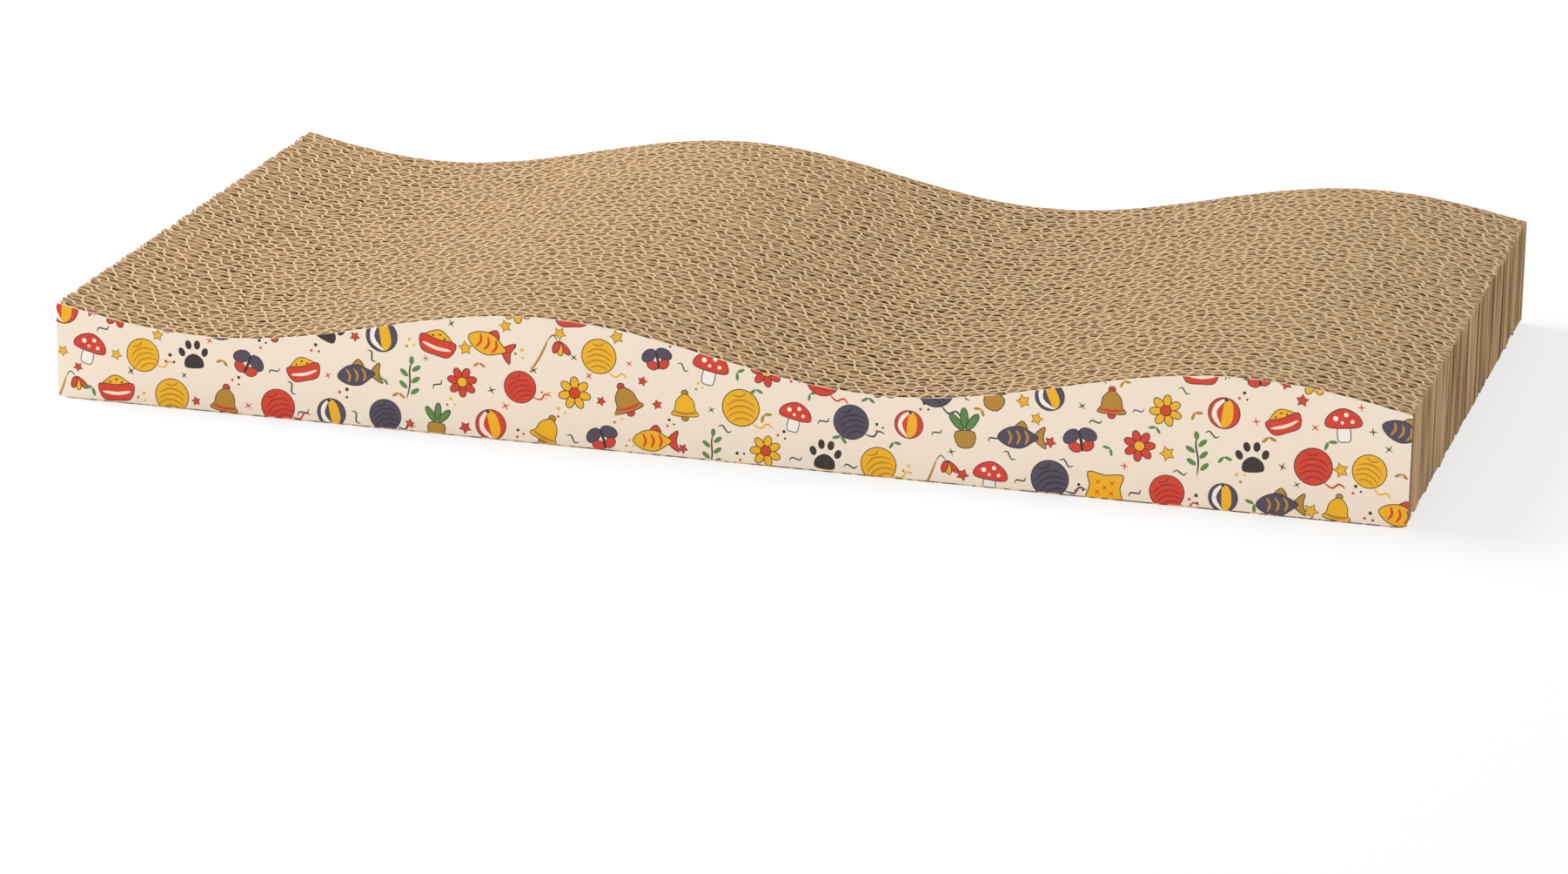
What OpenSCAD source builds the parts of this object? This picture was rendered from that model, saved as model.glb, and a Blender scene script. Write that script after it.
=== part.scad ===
// Cat scratching block. Strips of double-wall corrugated board stand on edge, side by side,
// and are glued into one slab whose top is cut to a wave. A printed paper sheet closes each long side.
// The block lies on the floor with its middle at the origin: length along X, depth along Y, Z up.

/* [Block] */
// Length of the block from its left end to its right end
block_l = 450; // [360:1:600]
// Number of board strips from front to back
strip_count = 37; // [20:1:50]
// How far a strip's end may stand out of line with the others
end_stagger = 0.3; // [0:0.1:1.5]
// Radius of the two bottom corners of every strip
corner_r = 2; // [1:0.5:6]

/* [Wave] */
// Length of one full wave, from crest to crest
wave_l = 228; // [180:1:300]
// Height of a crest above the wave's middle line
wave_h = 8; // [4:0.5:12]
// Height of the wave's middle line at the left end
mid_left_h = 33.2; // [24:0.1:45]
// Height of the wave's middle line at the right end
mid_right_h = 36.1; // [24:0.1:45]
// Distance of the first crest from the left end
first_crest = 167.5; // [100:0.5:228]

/* [Board] */
// Thickness of each of the three flat papers in a strip
liner_t = 0.25; // [0.15:0.05:0.4]
// Thickness of the two fluted papers between them
medium_t = 0.2; // [0.15:0.05:0.3]
// Height of the tall flutes, which lie nearer the front of a strip
tall_flute_h = 3.45; // [3:0.05:4]
// Length of one tall flute
tall_flute_l = 7.76; // [7:0.01:8.5]
// Height of the short flutes, which lie nearer the back of a strip
short_flute_h = 2.3; // [2:0.05:3]
// Length of one short flute
short_flute_l = 6.52; // [5.8:0.01:7]

/* [Printed sheets] */
// Thickness of the printed paper on the front and on the back
sheet_t = 0.25; // [0.1:0.05:0.5]
// Height of the sheets' lower edge above the floor
sheet_lift = 0.5; // [0.2:0.1:1]

/* [Hidden] */
// Straight steps that follow the wave, and that round one bottom corner
wave_steps = 54;
corner_steps = 5;
// Turn from one strip to the next that spreads the ends evenly within the stagger
stagger_turn = 137.5;
// Step from one strip to the next in where the end cut meets a flute, as a share of its slope
cut_step_share = 0.382;
// Lowest and highest place of that cut on the slope
cut_low_share = 0.25;
cut_high_share = 0.85;
// Length that cutting shapes run past the solid
overrun = 1;

strip_l = block_l - 2 * end_stagger;
strip_t = 3 * liner_t + tall_flute_h + short_flute_h;
stack_t = strip_count * strip_t;
tallest = max(mid_left_h, mid_right_h) + wave_h;

kraft = "#c4a57d";
print_paper = "#f0e4d6";

function strip_name(i) = str("strip_", i < 10 ? "0" : "", i);

// Height of the wave at a distance from the block's left end
function mid_h(x) = mid_left_h + (mid_right_h - mid_left_h) * x / block_l;
function top_h(x) = mid_h(x) + wave_h * cos(360 * (x - first_crest) / wave_l);

// Where strip number i lies: its left end, and its front face
function strip_x(i) = end_stagger * sin(stagger_turn * i) - strip_l / 2;
function strip_y(i) = (i - 1) * strip_t - stack_t / 2;

// Share of a flute's slope at which the end cut of strip number i meets it, at one of four places
function part_of_one(v) = v - floor(v);
function cut_share(i, place) =
    cut_low_share + (cut_high_share - cut_low_share) * part_of_one(cut_step_share * (i + place * place));

function corner_point(x, turn) = [x + corner_r * cos(turn), corner_r + corner_r * sin(turn)];

// Side view of a strip: flat base, rounded bottom corners, straight ends and the wave on top
module side_outline() {
    left_corner = [for (k = [0:corner_steps]) corner_point(corner_r, 180 + 90 * k / corner_steps)];
    right_corner = [for (k = [0:corner_steps]) corner_point(strip_l - corner_r, 270 + 90 * k / corner_steps)];
    wave = [for (k = [wave_steps:-1:0])
        let (x = strip_l * k / wave_steps) [x, top_h(x + end_stagger)]];
    polygon(concat(left_corner, right_corner, wave));
}

// A side outline stood up, its front face on Y zero, with thickness t towards the back
module stand_up(t) {
    translate([0, t, 0])
        rotate([90, 0, 0])
            linear_extrude(t) children();
}

// The two flute spaces that the end cut opens on either side of one fluted paper
module opened_flute(flute_h, flute_l, share) {
    slope_l = flute_l / 2;
    half_t = medium_t / 2;
    meet_h = flute_h * share;
    foot = slope_l * share;
    lost = slope_l * half_t / flute_h;
    linear_extrude(tallest + 2 * overrun) {
        polygon([
            [-overrun, 0],
            [foot - lost, 0],
            [0, meet_h - half_t],
            [-overrun, meet_h - half_t]
        ]);
        polygon([
            [-overrun, meet_h + half_t],
            [0, meet_h + half_t],
            [foot, half_t],
            [foot + slope_l - lost, flute_h],
            [-overrun, flute_h]
        ]);
    }
}

// The opened flutes of both layers at one end of strip number i
module opened_end(i, first_place) {
    translate([0, liner_t, -overrun])
        opened_flute(tall_flute_h, tall_flute_l, cut_share(i, first_place));
    translate([0, 2 * liner_t + tall_flute_h, -overrun])
        opened_flute(short_flute_h, short_flute_l, cut_share(i, first_place + 1));
}

// One strip of double-wall board
module strip(i) {
    color(kraft)
        translate([strip_x(i), strip_y(i), 0])
            difference() {
                stand_up(strip_t) side_outline();
                opened_end(i, 1);
                translate([strip_l, 0, 0])
                    mirror([1, 0, 0]) opened_end(i, 3);
            }
}

// A printed paper sheet with the outline of the strip that it is glued to
module print_sheet(i, y) {
    color(print_paper)
        translate([strip_x(i), y, 0])
            stand_up(sheet_t)
                difference() {
                    side_outline();
                    translate([-overrun, -overrun])
                        square([strip_l + 2 * overrun, sheet_lift + overrun]);
                }
}

module front_print_sheet() {
    print_sheet(1, -stack_t / 2 - sheet_t);
}

module back_print_sheet() {
    print_sheet(strip_count, stack_t / 2);
}

front_print_sheet();
for (i = [1:strip_count])
    strip(i);
back_print_sheet();
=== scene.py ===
# %% [markdown]
# # A wave-topped scratching block in corrugated board
#
# The block is a stack of board strips standing on edge. Each strip has three flat papers and two
# fluted ones, and the top of the whole stack is cut to a wave, so a cat claws at the ends of
# thousands of small paper tubes. A printed paper sheet closes each long side.
#
# The construction model holds one plain solid for each strip. Here each solid is replaced by the
# real thing, paper by paper, and then the papers, the print, the floor and the light are finished.

# %% Load the construction model
import math
import random

import bpy
from mathutils import Matrix, Vector
from mathutils.geometry import delaunay_2d_cdt


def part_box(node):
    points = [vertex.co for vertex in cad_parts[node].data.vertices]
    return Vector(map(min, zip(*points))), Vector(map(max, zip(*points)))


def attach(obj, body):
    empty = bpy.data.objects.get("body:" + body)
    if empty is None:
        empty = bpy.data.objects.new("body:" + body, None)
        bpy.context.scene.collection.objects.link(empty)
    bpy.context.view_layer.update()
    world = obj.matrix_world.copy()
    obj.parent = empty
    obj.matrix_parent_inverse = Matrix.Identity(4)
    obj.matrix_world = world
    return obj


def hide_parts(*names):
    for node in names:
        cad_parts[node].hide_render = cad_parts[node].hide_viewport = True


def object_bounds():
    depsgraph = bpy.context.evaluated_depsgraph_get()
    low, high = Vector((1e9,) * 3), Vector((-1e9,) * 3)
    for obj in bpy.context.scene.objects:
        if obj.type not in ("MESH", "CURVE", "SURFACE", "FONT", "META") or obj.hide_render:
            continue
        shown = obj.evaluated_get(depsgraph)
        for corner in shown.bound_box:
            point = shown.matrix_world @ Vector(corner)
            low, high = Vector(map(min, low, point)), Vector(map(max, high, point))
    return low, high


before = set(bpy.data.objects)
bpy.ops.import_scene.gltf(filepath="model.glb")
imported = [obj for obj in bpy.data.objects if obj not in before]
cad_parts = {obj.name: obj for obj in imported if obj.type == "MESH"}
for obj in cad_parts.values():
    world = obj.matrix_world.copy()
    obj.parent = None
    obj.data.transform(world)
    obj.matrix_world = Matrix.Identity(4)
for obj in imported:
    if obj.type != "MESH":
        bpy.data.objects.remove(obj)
cad_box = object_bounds()
MM = 0.001
strip_names = sorted(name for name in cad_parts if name.startswith("strip_"))
print(len(strip_names), "strips, box in mm:", [round(v / MM, 1) for corner in cad_box for v in corner])

# %% [markdown]
# ## Sizes that the scene shares with the construction model
#
# The ends and faces of every strip are read from its box. The wave can't be read from a box, so
# its formula is written here again, with the same sizes. The printed sheets ask it for a number.
# The board asks it for a wire of a node tree, and hands in a cosine that works on wires.

# %% The wave on the top
block_l = 450 * MM
wave_l = 228 * MM
wave_h = 8 * MM
mid_left_h = 33.2 * MM
mid_right_h = 36.1 * MM
first_crest = 167.5 * MM
corner_r = 2 * MM


def top_height(run, cosine=math.cos):
    """Height of the wave at a distance along the block from its left end."""
    middle = mid_left_h + (mid_right_h - mid_left_h) * run / block_l
    return middle + wave_h * cosine(math.tau * (run - first_crest) / wave_l)


print("left end", round(top_height(0) / MM, 1), "mm, right end", round(top_height(block_l) / MM, 1), "mm")

# %% [markdown]
# ## The camera
#
# The photographer stood to the right of the block's middle and used a long lens, so the four long
# edges stay almost parallel. Turning a camera with three angles is easiest to read as three
# matrices: first the small roll about its own axis, then the tilt, then the turn about the vertical.

# %% Camera
camera_place = Vector((473.6, -1767.6, 543.3)) * MM
camera_turn = math.radians(15.265)
camera_tilt = math.radians(90 - 17.335)
camera_roll = math.radians(0.862)
lens_mm = 128.9
sensor_mm = 36

camera_data = bpy.data.cameras.new("camera")
camera_data.sensor_width = sensor_mm
camera_data.lens = lens_mm
camera = bpy.data.objects.new("camera", camera_data)
bpy.context.scene.collection.objects.link(camera)
camera.matrix_world = (
    Matrix.Translation(camera_place)
    @ Matrix.Rotation(camera_turn, 4, "Z")
    @ Matrix.Rotation(camera_tilt, 4, "X")
    @ Matrix.Rotation(camera_roll, 4, "Z")
)
bpy.context.scene.camera = camera
print("camera at", [round(v, 3) for v in camera_place], "with a", lens_mm, "mm lens")

# %% [markdown]
# ## Writing node trees as formulas
#
# Shader trees and geometry trees are built from the same kind of boxes and wires. A formula with
# ten Math nodes is hard to read as wires and easy to read as Python, so one small class wraps a
# socket and turns + - * / and ** into Math nodes. `Graph.add` makes any other node in one line.

# %% Wire
class Wire:
    """The output of a node, with arithmetic that adds Math nodes to its tree."""

    def __init__(self, graph, socket):
        self.graph = graph
        self.socket = socket

    def math(self, operation, *others):
        values = dict(enumerate((self, *others)))
        return self.graph.add("ShaderNodeMath", values, operation=operation)

    def __add__(self, other):
        return self.math("ADD", other)

    def __sub__(self, other):
        return self.math("SUBTRACT", other)

    def __mul__(self, other):
        return self.math("MULTIPLY", other)

    def __truediv__(self, other):
        return self.math("DIVIDE", other)

    def __pow__(self, other):
        return self.math("POWER", other)

    def __rsub__(self, other):
        return self.graph.add("ShaderNodeMath", {0: other, 1: self}, operation="SUBTRACT")

    def __rtruediv__(self, other):
        return self.graph.add("ShaderNodeMath", {0: other, 1: self}, operation="DIVIDE")

    __radd__ = __add__
    __rmul__ = __mul__

    def clamped(self):
        return self.math("MAXIMUM", 0.0).math("MINIMUM", 1.0)

    def output(self, number):
        """Another output of the same node, by its number or its name."""
        return Wire(self.graph, self.socket.node.outputs[number])


print("formulas can use + - * / and **")

# %% Graph
class Graph:
    """A node tree with one short way to add a node and wire it."""

    def __init__(self, tree):
        self.tree = tree

    def add(self, kind, values=None, out=0, **settings):
        node = self.tree.nodes.new(kind)
        for name, value in settings.items():
            setattr(node, name, value)
        for key, value in (values or {}).items():
            self.wire(value, node.inputs[key])
        return Wire(self, node.outputs[out]) if node.outputs else None

    def wire(self, value, socket):
        if isinstance(value, Wire):
            self.tree.links.new(value.socket, socket)
        else:
            socket.default_value = value

    def noise(self, vector, scale, detail=2.0, seed=0.0):
        """Noise from about -1 to 1 around zero."""
        values = {"Vector": vector, "W": seed, "Scale": scale, "Detail": detail}
        return self.add("ShaderNodeTexNoise", values, noise_dimensions="4D") * 2.0 - 1.0


print("graph helper ready")

# %% [markdown]
# ## Board: what it looks like up close
#
# Brown board is made of long and recycled fibres, so it is never one colour. It has a soft mottle
# a few millimetres wide, fine specks and short fibres, and where a blade has cut it the torn fibre
# ends are paler than the calendered face. Down in a flute the colour is darkened with painted shade,
# more in some flutes than in others, and the painted shade grows towards the right end, away from
# the main light at the left. At both ends of the block the cut has laid flutes open along their
# length: there the painted shade in the flutes gives way to pale walls, with painted shade for the
# dark gaps between them.
#
# The papers carry four numbers that the geometry tree stores on them: `rim`, which is 1 on the top
# edge, one half about a millimetre below it and 0 at the foot, `opening`, which is 1 at the two ends
# of the block and 0 further in, `cut`, which is 1 on cut faces, and `tone`, a small difference in
# shade from paper to paper.

# %% Colours of the board
def linear(red, green, blue):
    """A colour as a screen shows it, 0 to 255, as the linear light that shaders work in."""
    shares = (red / 255, green / 255, blue / 255)
    return tuple(share / 12.92 if share <= 0.04045 else ((share + 0.055) / 1.055) ** 2.4 for share in shares)


# board_shade is painted shade: the colour of the paper deep down in a flute
board_shade = linear(126, 82, 40)
board_face = linear(237, 200, 155)
board_cut = linear(217, 188, 147)
board_open = linear(221, 190, 147)
# The gap colour is painted shade for the dark gaps between the flute walls that the end cut opened
painted_gap_shade = linear(134, 105, 73)
print("face of the board in linear light:", [round(v, 3) for v in board_face])


# %% Helpers for every material
def new_material(name):
    material = bpy.data.materials.new(name)
    material.use_nodes = True
    material.node_tree.nodes.clear()
    return material, Graph(material.node_tree)


def finish_material(graph, values):
    """Adds the shader and the output. Constants go straight on the shader's own sockets."""
    shader = graph.add("ShaderNodeBsdfPrincipled", values)
    graph.add("ShaderNodeOutputMaterial", {"Surface": shader})


def mixed(graph, share, first, second):
    """A mix of two colours. The Mix node's colour sockets are its inputs 6 and 7 and its output 2."""
    first, second = ((*colour, 1) if isinstance(colour, tuple) else colour for colour in (first, second))
    return graph.add("ShaderNodeMix", {0: share, 6: first, 7: second}, out=2, data_type="RGBA")


def attribute(graph, name):
    """A number that is stored on the mesh."""
    return graph.add("ShaderNodeAttribute", out="Fac", attribute_name=name)


print("material helpers ready")

# %% [markdown]
# ## Board: the material
#
# Four noises make the patterns. Each has a scale, which is about how many patches lie along one
# metre, and a weight or contrast, which is how far it moves a mix of two colours. Fibres and flutes
# run upright, so their noises are drawn out along Z, and the flute noise also sets how much painted
# shade each flute gets. The numbers that shape the finish, the painted shade among them, have names
# here, and the function below puts them together.

# %% Strengths of the board's patterns
mottle_scale = 90.0
mottle_weight = 0.35
speck_scale = 1100.0
speck_weight = 0.22
fibre_scale = 1500.0
fibre_weight = 0.2
fibre_stretch = (1.0, 1.0, 0.4)
flute_scale = 420.0
flute_contrast = 2.2
flute_stretch = (1.0, 1.0, 0.05)
tone_weight = 0.5
face_share = 0.95

# Painted shade down in the flutes: where it starts below the cut edge, how fast it grows, how dark it gets
# and how far the flute noise sets flutes apart
depth_start = 0.95
depth_slope = 3.5
painted_shade_strength = 1.6
flute_shade = 0.4
# Painted shade that grows towards the right end, away from the main light at the left
painted_shade_to_right = 0.45

wall_share = 0.55
opened_share = 0.9
cut_fade = 8.0
torn_share = 0.9
cut_share = 0.9
cut_speck_weight = 0.5
liner_dulling = 3.0
relief_weight = 0.5
relief_height = 0.06 * MM
print("the shade is full where rim has fallen to", round(depth_start - 1 / depth_slope, 2))


# %% Make the board
def make_board():
    material, graph = new_material("kraft_board")
    place = graph.add("ShaderNodeTexCoord", out="Object")
    rim, cut_face, tone, opening = (attribute(graph, name) for name in ("rim", "cut", "tone", "opening"))
    mottle = graph.noise(place, mottle_scale, detail=2.0, seed=1.0)
    specks = graph.noise(place, speck_scale, detail=2.0, seed=2.0)
    fibre_place = graph.add("ShaderNodeMapping", {"Vector": place, "Scale": fibre_stretch})
    fibres = graph.noise(fibre_place, fibre_scale, detail=3.0, seed=3.0)
    flute_place = graph.add("ShaderNodeMapping", {"Vector": place, "Scale": flute_stretch})
    flutes = graph.noise(flute_place, flute_scale, detail=1.0, seed=4.0) * flute_contrast

    # Painted shade that darkens the paper below the cut edge, less near the ends of the block, more in some
    # flutes than in others
    depth = ((depth_start - rim.math("MAXIMUM", opening)) * depth_slope).clamped()
    # The painted shade in the flutes grows from the left end to the right end
    to_right = graph.add("ShaderNodeSeparateXYZ", {0: place}) / (block_l / 2)
    painted_shade = depth * (flutes + flute_shade).clamped() * (to_right * painted_shade_to_right + 1.0)
    pattern = tone * tone_weight + mottle * mottle_weight + specks * speck_weight + fibres * fibre_weight
    pale = (face_share - painted_shade * painted_shade_strength + pattern).clamped()
    paper = mixed(graph, pale, board_shade, board_face)
    # At the ends the walls are pale, greyer paper, with painted shade in the gaps where the flute noise is
    # low
    wall = mixed(graph, (flutes + wall_share).clamped(), painted_gap_shade, board_open)
    opened = mixed(graph, opening * opened_share, paper, wall)

    torn_edge = rim ** cut_fade * (torn_share - tone * liner_dulling)
    cut = torn_edge.math("MAXIMUM", cut_face) * (cut_share + specks * cut_speck_weight)
    colour = mixed(graph, cut.clamped(), opened, board_cut)
    height = fibres * relief_weight + specks * relief_weight
    bump = graph.add("ShaderNodeBump", {"Height": height, "Strength": 0.35, "Distance": relief_height})
    finish_material(graph, {"Base Color": colour, "Roughness": 0.9, "Specular IOR Level": 0.25,
                            "Normal": bump})
    return material


kraft_board = make_board()
print("made", kraft_board.name, "from", len(kraft_board.node_tree.nodes), "nodes")

# %% [markdown]
# ## One paper of the board, as a rule
#
# A flat paper and a fluted paper are the same thing with a different middle line. Both are a long
# thin box, cut into short steps along its length. Geometry Nodes can make that box and then put
# each of its points where a formula says:
#
# - the middle line runs straight, or swings between the two flat papers as a cosine,
# - the paper's thickness is added square to that line, so steep slopes don't look thinner,
# - the top follows the wave, the bottom lies on the floor and turns up at the rounded corners,
# - slow noise makes the glued stack wander a little, faster noise shifts and leans the flutes,
#   and near the cut the edge is ragged and slightly spread, as a blade leaves it.
#
# The noise for the wander reads only the place in the block, so neighbouring papers move together.
# The numbers for the board material are stored before the points are placed, because every formula
# reads the plain box.

# %% Geometry trees
SOCKETS = {"geometry": "NodeSocketGeometry", "number": "NodeSocketFloat", "count": "NodeSocketInt",
           "material": "NodeSocketMaterial"}


def new_tree(name, inputs):
    """An empty geometry tree with named inputs and one geometry output."""
    tree = bpy.data.node_groups.new(name, "GeometryNodeTree")
    tree.interface.new_socket("Geometry", in_out="OUTPUT", socket_type=SOCKETS["geometry"])
    for label, kind in inputs:
        tree.interface.new_socket(label, in_out="INPUT", socket_type=SOCKETS[kind])
    graph = Graph(tree)
    entry = graph.add("NodeGroupInput")
    return graph, {label: entry.output(label) for label, kind in inputs}


def stored(graph, geometry, name, value, domain):
    """Keeps a number on every point or face, where a material can read it."""
    values = {"Geometry": geometry, "Name": name, "Value": value}
    return graph.add("GeometryNodeStoreNamedAttribute", values, data_type="FLOAT", domain=domain)


print("a tree's inputs can be", sorted(SOCKETS))

# %% How uneven the papers are
wander_size = 0.45 * MM
wander_scale = 22.0
wander_seed = 5.0
wander_fade = 18 * MM
phase_drift = 0.1
drift_scale = 45.0
drift_seed = 0.7
lean_size = 0.6
lean_scale = 60.0
lean_seed = 9.0
ragged_size = 0.45 * MM
ragged_side_scale = 420.0
ragged_side_seed = 3.0
ragged_top_scale = 520.0
ragged_top_seed = 6.0
ragged_fade = 6.0
flank_steepness = 0.65
print("the stack wanders by up to", round(wander_size / MM, 2), "mm")
print("and by less within", round(wander_fade / MM), "mm of a printed sheet")


# %% Along and across the strip
def paper_noise(graph, given, x, scale, seed):
    """Noise that changes along a paper and from paper to paper, and is the same all the way up."""
    spot = graph.add("ShaderNodeCombineXYZ", {0: x, 1: given["Base Y"]})
    return graph.noise(spot, scale, 1.0, seed)


def flute_point(graph, given, x, side, torn):
    """Where a point lies along and across the strip: on its flute, half a thickness to its side."""
    flute_l, flute_h, seed = given["Flute Length"], given["Flute Height"], given["Seed"]
    drift = paper_noise(graph, given, x, drift_scale, seed + drift_seed) * phase_drift
    turn = (x / flute_l + given["Phase"] + drift) * math.tau
    twice = turn * 2.0
    swing = 0.5 - turn.math("COSINE") * 0.5
    sway = twice.math("SINE") * flute_l * (flank_steepness / (2 * math.tau))
    rise = flute_h * math.pi * turn.math("SINE")
    reach = flute_l * (twice.math("COSINE") * flank_steepness + 1.0)
    stretch = (rise * rise + reach * reach).math("SQRT")
    half = side * given["Thickness"] * 0.5 * (torn * given["Spread"] + 1.0)
    lean = paper_noise(graph, given, x, lean_scale, seed + lean_seed) * lean_size * (swing - 0.5) * flute_h
    return x + sway + lean - half * rise / stretch, given["Base Y"] + swing * flute_h + half * reach / stretch


def pushed_aside(graph, given, x, torn):
    """How far the wandering stack and the torn edge push a point, and not at all at the sheets."""
    from_front = (given["Base Y"] - cad_box[0].y) / wander_fade
    from_back = (cad_box[1].y - given["Base Y"]) / wander_fade
    inside = from_front.math("MINIMUM", from_back).clamped()
    wander = paper_noise(graph, given, x, wander_scale, wander_seed) * wander_size
    ragged = paper_noise(graph, given, x, ragged_side_scale, given["Seed"] + ragged_side_seed) * ragged_size
    return (wander + ragged * torn) * inside


print("formulas for the flutes ready")

# %% Up the strip
crowding = 5.0


def paper_height(graph, given, along, x, level, torn):
    """How high a point lies, between the rounded bottom corners and the wave."""
    run = along + (block_l - given["Length"]) * 0.5
    top = top_height(run, lambda angle: angle.math("COSINE"))
    near_end = along.math("MINIMUM", given["Length"] - along)
    missing = (corner_r - near_end).math("MAXIMUM", 0.0)
    bottom = corner_r - (corner_r * corner_r - missing * missing).math("MAXIMUM", 0.0).math("SQRT")
    ragged = paper_noise(graph, given, x, ragged_top_scale, given["Seed"] + ragged_top_seed) * ragged_size
    return top + ragged * torn - (top - bottom) * (1.0 - level) ** crowding


print("the middle row of points lies", round(0.5 ** crowding * 100), "% of the height below the cut")

# %% A tree for one paper
PAPER_INPUTS = [
    ("Steps", "count"), ("Left End", "number"), ("Length", "number"), ("Base Y", "number"),
    ("Flute Length", "number"), ("Flute Height", "number"), ("Phase", "number"),
    ("Thickness", "number"), ("Spread", "number"), ("Tone", "number"), ("Seed", "number"),
]
# Within this distance of an end the painted shade in the flutes gives way to the opened walls
end_fade = 5 * MM


def make_paper_tree():
    graph, given = new_tree("Paper", PAPER_INPUTS)
    rows = {"Vertices X": given["Steps"], "Vertices Y": 2, "Vertices Z": 3}
    box = graph.add("GeometryNodeMeshCube", {"Size": (1, 1, 1), **rows})
    facing = graph.add("ShaderNodeSeparateXYZ", {0: graph.add("GeometryNodeInputNormal")})
    cut_face = facing.math("ABSOLUTE").math("MAXIMUM", facing.output(2))

    unit = graph.add("ShaderNodeSeparateXYZ", {0: graph.add("GeometryNodeInputPosition")})
    along = (unit + 0.5) * given["Length"]
    side = unit.output(1) * 2.0
    level = unit.output(2) + 0.5
    torn = level ** ragged_fade
    left_end, right_end = given["Left End"], given["Left End"] + given["Length"]
    x = along + left_end

    free_x, free_y = flute_point(graph, given, x, side, torn)
    cut_x = free_x.math("MAXIMUM", left_end).math("MINIMUM", right_end)
    y = free_y + pushed_aside(graph, given, x, torn)
    z = paper_height(graph, given, along, x, level, torn)
    from_end = (cut_x - left_end).math("MINIMUM", right_end - cut_x)
    opening = (1.0 - from_end / end_fade).clamped()

    numbered = stored(graph, box, "cut", cut_face, "FACE")
    for name, value in (("rim", level), ("opening", opening), ("tone", given["Tone"])):
        numbered = stored(graph, numbered, name, value, "POINT")
    place = graph.add("ShaderNodeCombineXYZ", {0: cut_x, 1: y, 2: z})
    placed_points = graph.add("GeometryNodeSetPosition", {"Geometry": numbered, "Position": place})
    graph.add("NodeGroupOutput", {0: placed_points})
    return graph.tree


paper_tree = make_paper_tree()
print("paper tree has", len(paper_tree.nodes), "nodes")

# %% [markdown]
# ## One strip of board
#
# A strip is five papers: flat, tall flutes, flat, short flutes, flat. A second tree uses the first
# one five times and hands each copy its own place, flute and seed. Its inputs are the sizes that
# differ from strip to strip, so one tree serves the whole block. A flat paper is a paper whose
# flutes have no height.

# %% Sizes of the board
liner_t = 0.25 * MM
medium_t = 0.2 * MM
tall_flute_l = 7.76 * MM
short_flute_l = 6.52 * MM
tall_flute_h = 3.45 * MM
short_flute_h = 2.3 * MM
flat_spread = 0.1
flute_spread = 2.6
outer_tone = 0.2
middle_tone = 0.1
tall_tone = -0.1
short_tone = -0.05
steps_a_flute = 8
liner_step = 3 * MM
paper_seed_step = 1.37
print("the board is", round((3 * liner_t + tall_flute_h + short_flute_h) / MM, 2), "mm thick")


# %% The five papers of a strip
def five_papers(given):
    """What each paper of a strip is, from front to back. Base Y is where its middle line starts."""
    flat = {"Steps": round(block_l / liner_step), "Flute Length": liner_step, "Flute Height": 0.0,
            "Phase": 0.0, "Thickness": liner_t, "Spread": flat_spread}
    tall = {"Steps": round(block_l / tall_flute_l * steps_a_flute), "Flute Length": tall_flute_l,
            "Flute Height": tall_flute_h - medium_t, "Phase": given["Tall Phase"],
            "Thickness": medium_t, "Spread": flute_spread}
    short = {"Steps": round(block_l / short_flute_l * steps_a_flute), "Flute Length": short_flute_l,
             "Flute Height": short_flute_h - medium_t, "Phase": given["Short Phase"],
             "Thickness": medium_t, "Spread": flute_spread}
    layers = [(flat, liner_t, outer_tone), (tall, tall_flute_h, tall_tone), (flat, liner_t, middle_tone),
              (short, short_flute_h, short_tone), (flat, liner_t, outer_tone)]
    papers = []
    front = 0.0
    for paper, depth, tone in layers:
        papers.append({**paper, "Base Y": front + paper["Thickness"] / 2, "Tone": tone})
        front += depth
    return papers


sample = five_papers({"Tall Phase": 0.0, "Short Phase": 0.0})
print("the papers' middle lines start at", [round(paper["Base Y"] / MM, 2) for paper in sample], "mm")

# %% A tree for one strip
STRIP_INPUTS = [
    ("Left End", "number"), ("Length", "number"), ("Front Y", "number"),
    ("Tall Phase", "number"), ("Short Phase", "number"), ("Seed", "number"), ("Board", "material"),
]


def make_strip_tree():
    graph, given = new_tree("Board strip", STRIP_INPUTS)
    join = graph.add("GeometryNodeJoinGeometry")
    for number, paper in enumerate(five_papers(given)):
        values = {**paper, "Base Y": given["Front Y"] + paper["Base Y"], "Left End": given["Left End"],
                  "Length": given["Length"], "Seed": given["Seed"] + number * paper_seed_step}
        graph.wire(graph.add("GeometryNodeGroup", values, node_tree=paper_tree), join.socket.node.inputs[0])
    whole = graph.add("GeometryNodeRealizeInstances", {0: join})
    painted = graph.add("GeometryNodeSetMaterial", {"Geometry": whole, "Material": given["Board"]})
    graph.add("NodeGroupOutput", {0: painted})
    return graph.tree


strip_tree = make_strip_tree()
print("strip tree has", len(strip_tree.nodes), "nodes")

# %% [markdown]
# ## The stack of strips
#
# Each strip is made on an empty mesh with the tree as its modifier. An input is set through its
# identifier, because names may repeat. The evaluated result is then copied into a plain mesh and
# the modifier goes, so what is kept is ordinary geometry. Every strip gets its own flute phases,
# because boards are cut from the web without any regard for where a flute begins.

# %% From a tree to a plain mesh
def input_ids(tree):
    return {item.name: item.identifier for item in tree.interface.items_tree
            if item.item_type == "SOCKET" and item.in_out == "INPUT"}


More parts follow.
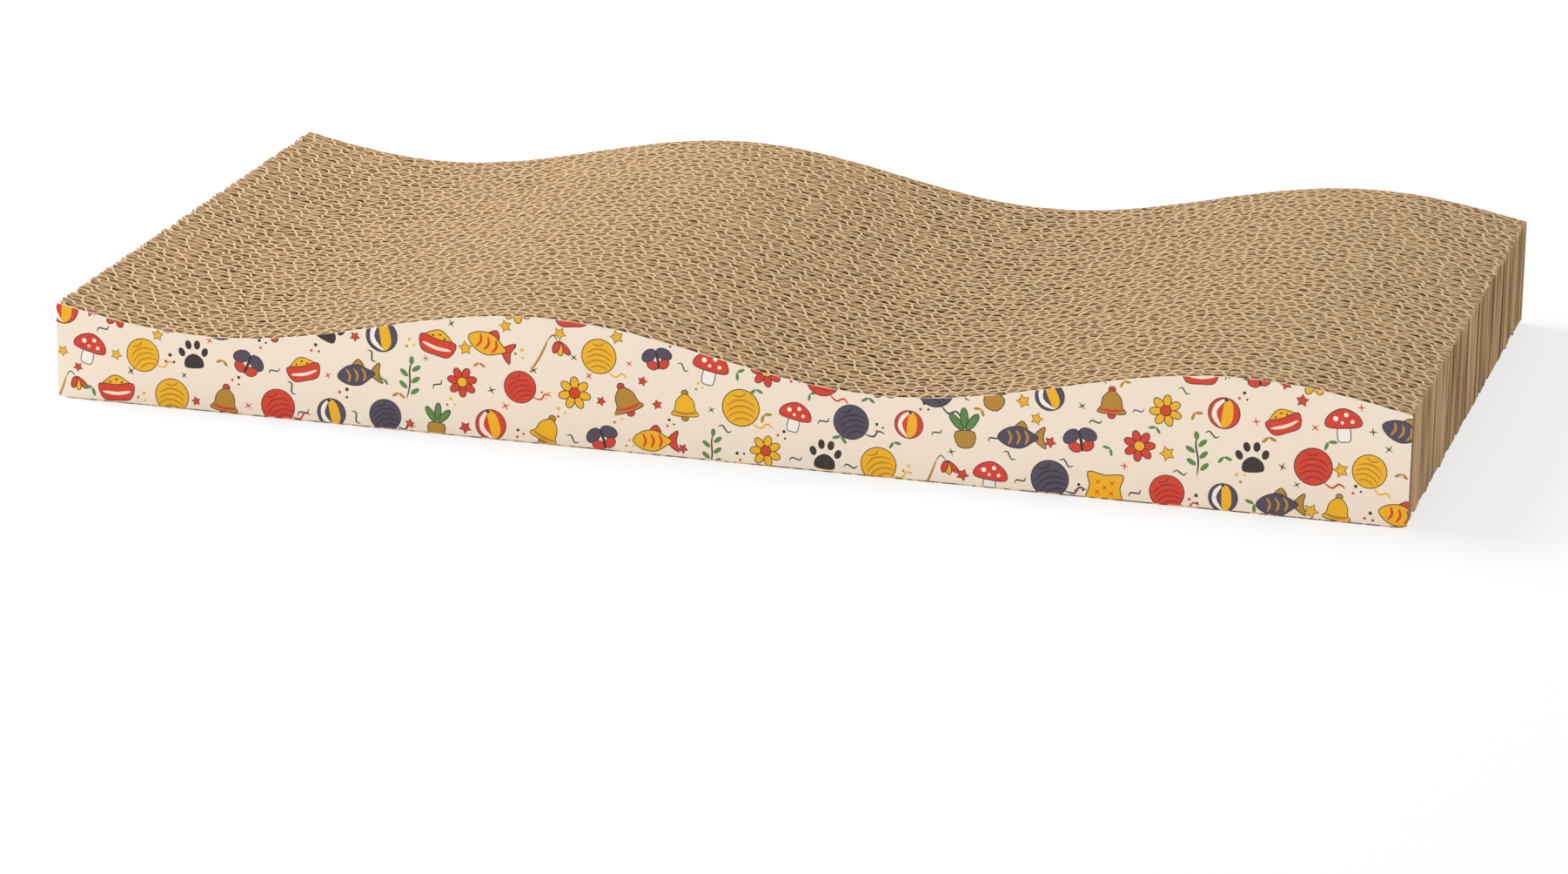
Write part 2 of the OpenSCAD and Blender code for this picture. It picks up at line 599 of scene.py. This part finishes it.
def from_tree(name, tree, values):
    """Runs a geometry tree once and returns its result as an object with a plain mesh."""
    carrier = bpy.data.objects.new(name + "_carrier", bpy.data.meshes.new(name + "_carrier"))
    bpy.context.scene.collection.objects.link(carrier)
    modifier = carrier.modifiers.new("tree", "NODES")
    modifier.node_group = tree
    identifiers = input_ids(tree)
    for label, value in values.items():
        modifier[identifiers[label]] = value
    evaluated = carrier.evaluated_get(bpy.context.evaluated_depsgraph_get())
    mesh = bpy.data.meshes.new_from_object(evaluated)
    bpy.data.objects.remove(carrier)
    mesh.name = name
    made = bpy.data.objects.new(name, mesh)
    bpy.context.scene.collection.objects.link(made)
    return made


def keep(piece, node):
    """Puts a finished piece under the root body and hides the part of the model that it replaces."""
    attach(piece, "root")
    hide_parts(node)


print("the strip tree's inputs:", input_ids(strip_tree))

# %% Build the strips
smooth_angle = math.radians(42)
phase_seed = 11
strip_seed_step = 10.0
strip_random = random.Random(phase_seed)
triangles = 0
for number, node in enumerate(strip_names, start=1):
    low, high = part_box(node)
    strip = from_tree(node + "_board", strip_tree, {
        "Left End": low.x, "Length": high.x - low.x, "Front Y": low.y,
        "Tall Phase": strip_random.random(), "Short Phase": strip_random.random(),
        "Seed": number * strip_seed_step, "Board": kraft_board,
    })
    strip.data.shade_smooth()
    strip.data.set_sharp_from_angle(angle=smooth_angle)
    keep(strip, node)
    triangles += sum(len(face.vertices) - 2 for face in strip.data.polygons)
print(len(strip_names), "strips,", triangles, "triangles")

# %% [markdown]
# ## Printed sheets: the drawings
#
# A printed paper closes each long side. It carries small hand-drawn motifs in yellow, red, slate,
# green and ochre with thin dark outlines on a cream ground. The drawings here are this block's own:
# things a cat plays with or sleeps among, each built from a few smooth closed shapes.
#
# A print could be a picture file, but then its edges blur when the camera comes close. So every
# shape stays a shape. Three small helpers draw them, in millimetres: a closed curve through a few
# points, an oval, and a ribbon for a pen stroke. A motif is a list of inks and outlines, back to front.

# %% Inks
INKS = {
    "cream": linear(246, 230, 209), "white": linear(249, 242, 229), "yellow": linear(243, 180, 10),
    "ochre": linear(182, 134, 40), "red": linear(216, 58, 36), "brick": linear(158, 38, 30),
    "slate": linear(74, 68, 88), "green": linear(88, 134, 66), "dark": linear(48, 36, 36),
}
print(len(INKS), "inks")

# %% Pens
outline_width = 0.32
stroke_thinning = 0.7


def through(points, steps=4, closed=True):
    """A smooth line through a few points. Each stretch is a cubic that its four nearest points shape."""
    count = len(points)
    line = []
    for i in range(count if closed else count - 1):
        picks = [(i + k - 1) % count if closed else min(max(i + k - 1, 0), count - 1) for k in range(4)]
        a, b, c, d = (Vector(points[pick]) for pick in picks)
        for step in range(steps):
            t = step / steps
            line.append((b * 2 + (c - a) * t + (a * 2 - b * 5 + c * 4 - d) * t ** 2
                         + (b * 3 - a - c * 3 + d) * t ** 3) / 2)
    return line if closed else [*line, Vector(points[-1])]


def oval(x, y, width, height, turn=0.0, corners=16):
    turned = Matrix.Rotation(math.radians(turn), 2)
    angles = [math.tau * i / corners for i in range(corners)]
    ring = [Vector((width / 2 * math.cos(a), height / 2 * math.sin(a))) for a in angles]
    return [Vector((x, y)) + turned @ point for point in ring]


def sideways(line, i, closed):
    """The direction to the right of a line at one of its points."""
    before = line[i - 1] if closed or i else line[i]
    after = line[(i + 1) % len(line)] if closed or i + 1 < len(line) else line[i]
    along = (after - before).normalized()
    return Vector((along.y, -along.x))


def ribbon(points, width, steps=4):
    """A pen stroke that thins out towards both ends."""
    line = through(points, steps, closed=False)
    last = len(line) - 1
    halves = [width / 2 * (1 - stroke_thinning * abs(2 * i / last - 1) ** 3) for i in range(last + 1)]
    right = [p + sideways(line, i, False) * halves[i] for i, p in enumerate(line)]
    left = [p - sideways(line, i, False) * halves[i] for i, p in enumerate(line)]
    return right + left[::-1]


def is_left_turning(shape):
    return sum(a.x * b.y - b.x * a.y for a, b in zip(shape, shape[1:] + shape[:1])) > 0


def inked(ink, shape):
    """A shape over a slightly larger dark one, which shows as its outline."""
    shape = shape if is_left_turning(shape) else shape[::-1]
    larger = [p + sideways(shape, i, True) * outline_width for i, p in enumerate(shape)]
    return [("dark", larger), (ink, shape)]


print("an inked oval is", [(ink, len(shape)) for ink, shape in inked("red", oval(0, 0, 2, 1))])


# %% Large motifs: toys
def yarn(ink, thread):
    arcs = [[(-4.7, d - 1.2), (-1.6, d + 0.8), (2, d + 0.7), (4.8, d - 1)] for d in (-2.4, -0.4, 1.6)]
    arcs.append([(-2.8, -4.7), (-0.6, -3.5), (1.8, -3.6), (3.2, -4.5)])
    arcs.append([(-2.8, 4.3), (-0.9, 3.7), (0.9, 4.2), (1.6, 5.2)])
    tail = ribbon([(3.6, -4.9), (6.4, -6.4), (8.6, -4.9), (10.6, -6.2)], 0.7)
    ball = inked(ink, oval(0, 0, 12, 12, corners=28))
    return [(ink, tail), *ball, *((thread, ribbon(arc, 0.6)) for arc in arcs)]


def bell(ink, band):
    dome = through([(-4.9, -3.2), (-3.7, -1.2), (-3, 2.2), (0, 4.6),
                    (3, 2.2), (3.7, -1.2), (4.9, -3.2), (0, -3.7)])
    hem = ribbon([(-4.2, -2.1), (0, -2.7), (4.2, -2.1)], 1.1)
    loop, clapper = inked(band, oval(0, 5.1, 2.2, 2)), inked(band, oval(0, -4.3, 2.4, 2))
    return [*loop, *clapper, *inked(ink, dome), (band, hem)]


def wand(ink, second):
    stick = ribbon([(-8, -5.6), (-3, -1.4), (1.4, 3.4)], 0.8)
    string = ribbon([(1.4, 3.4), (3.6, 4.6), (4.6, 2.4)], 0.4)
    plumes = [(ink, -62, 5.6), (second, -96, 4.6), (ink, -128, 4)]
    shapes = []
    for colour, turn, length in plumes:
        x = 4.6 + length / 2 * math.cos(math.radians(turn))
        y = 2 + length / 2 * math.sin(math.radians(turn))
        shapes += inked(colour, oval(x, y, length, 1.9, turn))
    return [("ochre", stick), ("dark", string), *shapes]


def striped_ball(ink, second):
    wedge = through([(0, 5), (2.6, 3), (2.9, -2.8), (0, -5), (-0.6, 0)])
    sliver = through([(0, 5), (-3.4, 2.6), (-3.8, -2), (0, -5), (-2.6, 0)])
    ball = inked(ink, oval(0, 0, 10.4, 10.4, corners=26))
    return [*ball, (second, wedge), ("white", sliver), ("dark", oval(0, 4.6, 1.5, 1))]


print("a ball of yarn is", len(yarn("red", "dark")), "shapes")


# %% Large motifs: food and bed
def fish(ink, stripe):
    tail = through([(4.6, 0), (8.4, 3.6), (7.6, 0), (8.4, -3.6)])
    body = through([(-7.4, 0), (-4.4, 2.8), (0.2, 3.5), (4, 1.5),
                    (6, 0), (4, -1.5), (0.2, -3.5), (-4.4, -2.8)])
    fin = through([(-1.6, 3), (1, 5.4), (2.4, 2.6)])
    bars = [ribbon([(x, 2.4), (x + 1, 0), (x, -2.4)], 0.9) for x in (-4, -1.2, 1.6)]
    return [*inked(stripe, tail), *inked(stripe, fin), *inked(ink, body), *((stripe, bar) for bar in bars)]


def bowl(ink, food):
    heap = through([(-4.8, 1), (-2.6, 3.6), (0, 4.6), (2.8, 3.4), (4.8, 1)])
    side = through([(-6.3, 1.5), (0, 1.1), (6.3, 1.5), (5, -3.6), (0, -4.2), (-5, -3.6)])
    bits = [oval(x, y, 0.9, 0.7) for x, y in ((-2.2, 2.3), (0.2, 3.2), (2.1, 2.1))]
    stripe = ribbon([(-5.2, -1.2), (0, -1.9), (5.2, -1.2)], 1.2)
    return [*inked(food, heap), *(("dark", bit) for bit in bits), *inked(ink, side), ("cream", stripe)]


def cushion(ink, stitch):
    pad = through([(-5.6, -4.4), (-4.8, 0), (-5.6, 4.4), (0, 3.8),
                   (5.6, 4.4), (4.8, 0), (5.6, -4.4), (0, -3.8)])
    middles = ((-2.3, 1.5), (2.3, 1.5), (0, -0.2), (-2.3, -1.9), (2.3, -1.9))
    crosses = [ribbon([(x - 0.8, y - 0.8 * s), (x + 0.8, y + 0.8 * s)], 0.4, 2)
               for x, y in middles for s in (1, -1)]
    return [*inked(ink, pad), *((stitch, cross) for cross in crosses)]


def paw(ink):
    pad = through([(0, -4.2), (-3.4, -3.6), (-3, -0.6), (0, 1.1), (3, -0.6), (3.4, -3.6)])
    toes = [(-4.2, 1.6, 22), (-1.6, 4.2, 8), (1.6, 4.2, -8), (4.2, 1.6, -22)]
    return [(ink, pad), *((ink, oval(x, y, 2.3, 3.3, turn)) for x, y, turn in toes)]


print("a fish is", len(fish("yellow", "red")), "shapes")


# %% Large motifs: garden
def sprig(ink):
    sides = ((-4, 1), (-2.2, -1), (0, 1), (2, -1), (4, 1))
    leaves = [oval(side * 2.1, y, 3.6, 1.7, side * 38) for y, side in sides]
    stem = ribbon([(-0.6, -7), (0.2, -2), (-0.2, 3), (0.3, 6)], 0.6)
    return [("dark", stem), *((ink, leaf) for leaf in leaves), (ink, oval(0.3, 6.6, 1.7, 3))]


def daisy(ink, middle):
    shapes = []
    for turn in (360 * i / 7 for i in range(7)):
        x, y = 3.5 * math.cos(math.radians(turn)), 3.5 * math.sin(math.radians(turn))
        shapes += inked(ink, oval(x, y, 4, 2.5, turn))
    return shapes + inked(middle, oval(0, 0, 3.4, 3.4))


def mushroom(ink):
    stalk = through([(-1.5, 0), (-1.9, -5), (0, -5.7), (1.9, -5), (1.5, 0)])
    cap = through([(-5.6, -0.4), (-4.6, 3), (0, 5.2), (4.6, 3), (5.6, -0.4), (0, -1.1)])
    places = ((-2.5, 2, 1.7), (1, 3.2, 1.5), (2.9, 0.9, 1.3), (-0.4, 0.6, 1.1))
    spots = [oval(x, y, d, d, corners=12) for x, y, d in places]
    return [*inked("white", stalk), *inked(ink, cap), *(("white", spot) for spot in spots)]


def potted_plant(pot):
    side = through([(-3, -0.8), (3, -0.8), (2.2, -5.4), (-2.2, -5.4)], 3)
    leaves = [oval(x, y, 6.4, 2.2, turn) for x, y, turn in ((-2.6, 2.6, 128), (0, 4, 90), (2.6, 2.6, 52))]
    return [*(part for leaf in leaves for part in inked("green", leaf)), *inked(pot, side)]


def butterfly(ink, second):
    wings = [(ink, oval(-2.9, 1.8, 6, 4, 32)), (ink, oval(2.9, 1.8, 6, 4, -32)),
             (second, oval(-2.2, -2, 4.2, 3, -30)), (second, oval(2.2, -2, 4.2, 3, 30))]
    body = ribbon([(0, 3.4), (0.2, 0), (0, -3.8)], 1.1)
    return [*(part for colour, wing in wings for part in inked(colour, wing)), ("dark", body)]


print("a daisy is", len(daisy("yellow", "red")), "shapes")

# %% The set of large motifs
LARGE = [
    yarn("yellow", "ochre"), fish("slate", "ochre"), bowl("red", "yellow"), sprig("green"),
    daisy("yellow", "red"), wand("red", "yellow"), paw("dark"), cushion("yellow", "red"),
    butterfly("slate", "red"), bell("yellow", "ochre"), yarn("red", "brick"), potted_plant("ochre"),
    fish("yellow", "red"), mushroom("red"), striped_ball("slate", "yellow"), daisy("red", "yellow"),
    yarn("slate", "dark"), striped_ball("red", "yellow"), bell("ochre", "red"),
]
print(len(LARGE), "large motifs")


# %% Small motifs
def dots(ink, second):
    places = [(ink, 0, 1.4, 1.3), (second, -1.4, -1, 1.1), (ink, 1.5, -0.8, 0.9)]
    return [(colour, oval(x, y, d, d, corners=10)) for colour, x, y, d in places]


def plus(ink):
    bars = ([(-1.5, 0.1), (1.5, -0.1)], [(0.1, -1.5), (-0.1, 1.5)])
    return [(ink, ribbon(bar, 0.6, 2)) for bar in bars]


def star(ink, size=2.4):
    points = []
    for i in range(10):
        radius = size if i % 2 == 0 else size * 0.46
        points.append(Vector((radius * math.sin(i * math.pi / 5), radius * math.cos(i * math.pi / 5))))
    return inked(ink, points)


def leaf_pair(ink):
    return [(ink, oval(-1.3, 0.3, 3, 1.2, 35)), (ink, oval(1.3, 0.3, 3, 1.2, -35))]


def squiggle(ink):
    return [(ink, ribbon([(-2.6, 0), (-1.3, 0.9), (0, 0), (1.3, -0.9), (2.6, 0)], 0.6))]


SMALL = [
    dots("dark", "red"), star("yellow"), plus("dark"), leaf_pair("green"), squiggle("slate"),
    dots("yellow", "ochre"), star("red", 2.0), plus("red"), squiggle("dark"), leaf_pair("ochre"),
]
print(len(SMALL), "small motifs")

# %% [markdown]
# ## Printed sheets: layout
#
# Large motifs stand on a staggered grid, like bricks, and small ones fill the gaps. Every motif is
# turned and shifted a little, and the grid runs past the sheet's outline, where the paper is cut
# straight through the drawings, as it is on the real sheet.

# %% Lay the motifs out
column_step = 18.5
row_step = 13.5
first_row = 4.5
repeat_gap = 10
large_spread = {"shift": 0.8, "turn": 24, "scale": (0.86, 1.0)}
small_spread = {"shift": 0.5, "turn": 60, "scale": (0.75, 1.0)}
small_places = ((0.5, -0.1), (0.27, 0.5))


def scattered(dice, motif, x, y, shift, turn, scale):
    """A motif near a place. Its shift, turn and scale are drawn by lot, in that order."""
    middle = Vector((x + dice.uniform(-shift, shift), y + dice.uniform(-shift, shift)))
    turned = Matrix.Rotation(math.radians(dice.uniform(-turn, turn)), 2) * dice.uniform(*scale)
    return [(ink, [turned @ point + middle for point in shape]) for ink, shape in motif]


def lay_out(seed, half_length, height):
    """All the shapes of one sheet, in millimetres from the middle of its lower edge."""
    dice = random.Random(seed)
    shapes, recent = [], []
    columns = math.ceil(half_length / column_step) + 1
    for row in range(math.ceil((height - first_row) / row_step) + 1):
        for column in range(-columns, columns + 1):
            x = (column + 0.5 * (row % 2)) * column_step
            y = first_row + row * row_step
            pick = dice.choice([i for i in range(len(LARGE)) if i not in recent])
            recent = [*recent[1 - repeat_gap:], pick]
            shapes += scattered(dice, LARGE[pick], x, y, **large_spread)
            for dx, dy in small_places:
                spot = x + dx * column_step, y + dy * row_step
                shapes += scattered(dice, dice.choice(SMALL), *spot, **small_spread)
    return shapes


front_seed = 5
back_seed = 8
print(len(lay_out(front_seed, block_l / MM / 2, cad_box[1].z / MM)), "shapes on the front sheet")

# %% [markdown]
# ## Printed sheets: the paper
#
# The ink is a colour that every corner of the mesh carries, so the material only adds what paper
# has: fine grain, a trace of unevenness in the ink, a satin surface, and the faint ribs of the
# flutes that the sheet is glued over.

# %% Make the printed paper
INKS["paper edge"] = linear(247, 242, 232)
INKS["paper back"] = linear(206, 190, 166)
worn_ink = linear(190, 170, 146)
worn_share = 0.02
worn_weight = 0.04
paper_mottle_scale = 160.0
paper_grain_scale = 1400.0
rib_share = 0.6
rib_variation = 0.8
rib_weight = 0.7
grain_weight = 0.2
rib_height = 0.03 * MM
paper_roughness = 0.5
grain_roughness = 0.08
mottle_roughness = 0.05


def make_printed_paper():
    material, graph = new_material("printed_paper")
    place = graph.add("ShaderNodeTexCoord", out="Object")
    ink = graph.add("ShaderNodeAttribute", attribute_name="ink")
    mottle = graph.noise(place, paper_mottle_scale, detail=3.0, seed=1.0)
    grain = graph.noise(place, paper_grain_scale, detail=3.0, seed=2.0)
    wear = (worn_share + mottle * worn_weight + grain * worn_weight).clamped()
    worn = mixed(graph, wear, ink, worn_ink)
    along = graph.add("ShaderNodeSeparateXYZ", {0: place})
    ribs = (along * (math.tau / tall_flute_l)).math("SINE") * (rib_share + mottle * rib_variation)
    height = ribs * rib_weight + grain * grain_weight
    bump = graph.add("ShaderNodeBump", {"Height": height, "Strength": 0.5, "Distance": rib_height})
    rough = paper_roughness + grain * grain_roughness + mottle * mottle_roughness
    finish_material(graph, {"Base Color": worn, "Roughness": rough, "Specular IOR Level": 0.3,
                            "Normal": bump})
    return material


printed_paper = make_printed_paper()
print("made", printed_paper.name, "from", len(printed_paper.node_tree.nodes), "nodes")

# %% [markdown]
# ## Printed sheets: from drawings to mesh
#
# The outline and all drawings go into one flat triangulation that keeps every line as an edge of
# some triangle. Each triangle then takes the ink of the last shape that covers it, as if the shapes
# had been painted one over another. The result is one smooth face with sharp colour borders, and
# the same triangles give the paper its back, with a thin wall all round between the two. Points of
# drawings that run past the paper are left out.

# %% The edge of a sheet
sheet_wave_steps = 110
corner_steps = 8


def sheet_outline(low, high, facing):
    """The sheet's edge in millimetres as seen from outside, anticlockwise from its lower right corner."""
    left, right = sorted((low.x * facing, high.x * facing))
    slipped = (block_l - (high.x - low.x)) / 2
    arc = math.asin((corner_r - low.z) / corner_r)
    turns = [arc * i / corner_steps for i in range(corner_steps + 1)]
    corner = [(corner_r * (1 - math.cos(a)), corner_r * (1 - math.sin(a))) for a in turns]
    line = [(right - x, y) for x, y in reversed(corner)]
    for i in range(sheet_wave_steps + 1):
        u = right + (left - right) * i / sheet_wave_steps
        line.append((u, top_height(u * facing - low.x + slipped)))
    line += [(left + x, y) for x, y in corner]
    return [Vector(point) / MM for point in line]


front_outline = sheet_outline(*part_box("front_print_sheet"), 1)
print("the front sheet is", round(front_outline[0].x - front_outline[-1].x, 1), "mm long at its lower edge")

# %% Triangles of a sheet
keep_covered = 1
same_point = 1e-4


def triangulated(rings):
    """Flat points, and the triangles inside the first ring with the ink that covers each of them."""
    points, faces = [], []
    for ink, ring in rings:
        faces.append(list(range(len(points), len(points) + len(ring))))
        points += ring if is_left_turning(ring) else ring[::-1]
    result = delaunay_2d_cdt(points, [], faces, keep_covered, same_point)
    spots, triangles, sources = result[0], result[2], result[5]
    kept = [(t, rings[max(source)][0]) for t, source in zip(triangles, sources) if 0 in source]
    used = sorted({corner for t, ink in kept for corner in t})
    new_number = {corner: number for number, corner in enumerate(used)}
    return [spots[corner] for corner in used], [(tuple(new_number[c] for c in t), ink) for t, ink in kept]


def sheet_faces(kept, count):
    """Corners and ink of every face: the print, the bare back and the wall between them."""
    edges = {(t[i], t[(i + 1) % 3]) for t, ink in kept for i in range(3)}
    back = [((c + count, b + count, a + count), "paper back") for (a, b, c), ink in kept]
    wall = [((b, a, a + count, b + count), "paper edge") for a, b in edges if (b, a) not in edges]
    return [*kept, *back, *wall]


square = [Vector((0, 0)), Vector((1, 0)), Vector((1, 1)), Vector((0, 1))]
print("a plain square has", len(triangulated([("cream", square)])[1]), "triangles")


# %% Make the sheets
def make_sheet(node, facing, seed):
    low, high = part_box(node)
    drawings = lay_out(seed, block_l / MM / 2, high.z / MM)
    spots, kept = triangulated([("cream", sheet_outline(low, high, facing)), *drawings])
    faces = sheet_faces(kept, len(spots))
    outer, inner = (low.y, high.y) if facing == 1 else (high.y, low.y)
    points = [(spot.x * MM * facing, y, spot.y * MM) for y in (outer, inner) for spot in spots]
    mesh = bpy.data.meshes.new(node)
    mesh.from_pydata(points, [], [corners for corners, ink in faces])
    colours = mesh.attributes.new("ink", "FLOAT_COLOR", "CORNER")
    colours.data.foreach_set("color", [v for corners, ink in faces for v in (*INKS[ink], 1) * len(corners)])
    mesh.materials.append(printed_paper)
    sheet = bpy.data.objects.new(node.replace("print_sheet", "printed_paper"), mesh)
    bpy.context.scene.collection.objects.link(sheet)
    keep(sheet, node)
    print(sheet.name, "has", len(kept), "triangles in its print and", len(faces), "faces in all")


make_sheet("front_print_sheet", 1, front_seed)
make_sheet("back_print_sheet", -1, back_seed)

# %% [markdown]
# ## Floor
#
# The floor is plain and nearly white, and it takes the block's shadow as any matt floor does. In a
# product photograph such a floor is clean white and the shadow is very pale. So the camera, and rays
# that are mirrored or let through, see a floor of another mix: a smaller share of it answers to the
# lamps, and the rest is a light of its own. No more light falls on the block for that.

# %% Floor
floor_white = 0.7
floor_patch_share = 0.99
floor_patch_scale = 3.0
floor_seen = 0.3
floor_glow = 0.69
floor_half = 6.0


def seen_rays(graph):
    """1 for the rays that show a background, which are camera, glossy and transmitted rays."""
    rays = graph.add("ShaderNodeLightPath")
    glossy, transmitted = rays.output("Is Glossy Ray"), rays.output("Is Transmission Ray")
    return rays.math("MAXIMUM", glossy).math("MAXIMUM", transmitted)


def grey(level):
    return (level, level, level)


def make_floor():
    material, graph = new_material("floor")
    seen = seen_rays(graph)
    patches = graph.noise(graph.add("ShaderNodeTexCoord", out="Object"), floor_patch_scale)
    plain = mixed(graph, patches.clamped(), grey(floor_white), grey(floor_white * floor_patch_share))
    white = mixed(graph, seen, plain, grey(floor_seen))
    glow = mixed(graph, seen, grey(0.0), grey(floor_glow))
    finish_material(graph, {"Base Color": white, "Roughness": 0.9, "Specular IOR Level": 0.1,
                            "Emission Color": glow, "Emission Strength": 1.0})
    signs = ((-1, -1), (1, -1), (1, 1), (-1, 1))
    mesh = bpy.data.meshes.new("floor")
    mesh.from_pydata([(x * floor_half, y * floor_half, 0) for x, y in signs], [], [(0, 1, 2, 3)])
    mesh.materials.append(material)
    floor = bpy.data.objects.new("floor", mesh)
    bpy.context.scene.collection.objects.link(floor)


make_floor()
print("floor", floor_half * 2, "m wide")

# %% [markdown]
# ## Light
#
# The pale shadow lies to the right of the block, level with its length, so the main light is a
# large softbox at the left, at middling height. A low one in front lights the printed sheet, and a
# weak one at the right reaches the end face. The rest is even light from all round.

# %% Softboxes
def add_softbox(name, azimuth, elevation, distance, size, power):
    """A square softbox that faces the block. Azimuth 0 is in front and 90 on the right."""
    turn, rise = math.radians(azimuth), math.radians(elevation)
    away = Vector((math.sin(turn) * math.cos(rise), -math.cos(turn) * math.cos(rise), math.sin(rise)))
    data = bpy.data.lights.new(name, "AREA")
    data.shape = "SQUARE"
    data.size = size
    data.energy = power
    light = bpy.data.objects.new(name, data)
    light.location = away * distance
    light.rotation_euler = away.to_track_quat("Z", "Y").to_euler()
    bpy.context.scene.collection.objects.link(light)


add_softbox("key", azimuth=-100, elevation=36, distance=1.9, size=1.05, power=38.5)
add_softbox("fill", azimuth=62, elevation=14, distance=2.4, size=0.8, power=3.2)
add_softbox("front", azimuth=10, elevation=8, distance=3.0, size=0.8, power=23)

# %% Light from all round
sky_level = 0.52
world = bpy.data.worlds.new("studio")
world.use_nodes = True
world.node_tree.nodes.clear()
sky = Graph(world.node_tree)
sky_colour = mixed(sky, seen_rays(sky), grey(sky_level), grey(1.0))
sky.add("ShaderNodeOutputWorld", {"Surface": sky.add("ShaderNodeBackground", {"Color": sky_colour})})
bpy.context.scene.world = world
bpy.context.scene.view_settings.view_transform = "Standard"
print("light from all round:", sky_level)
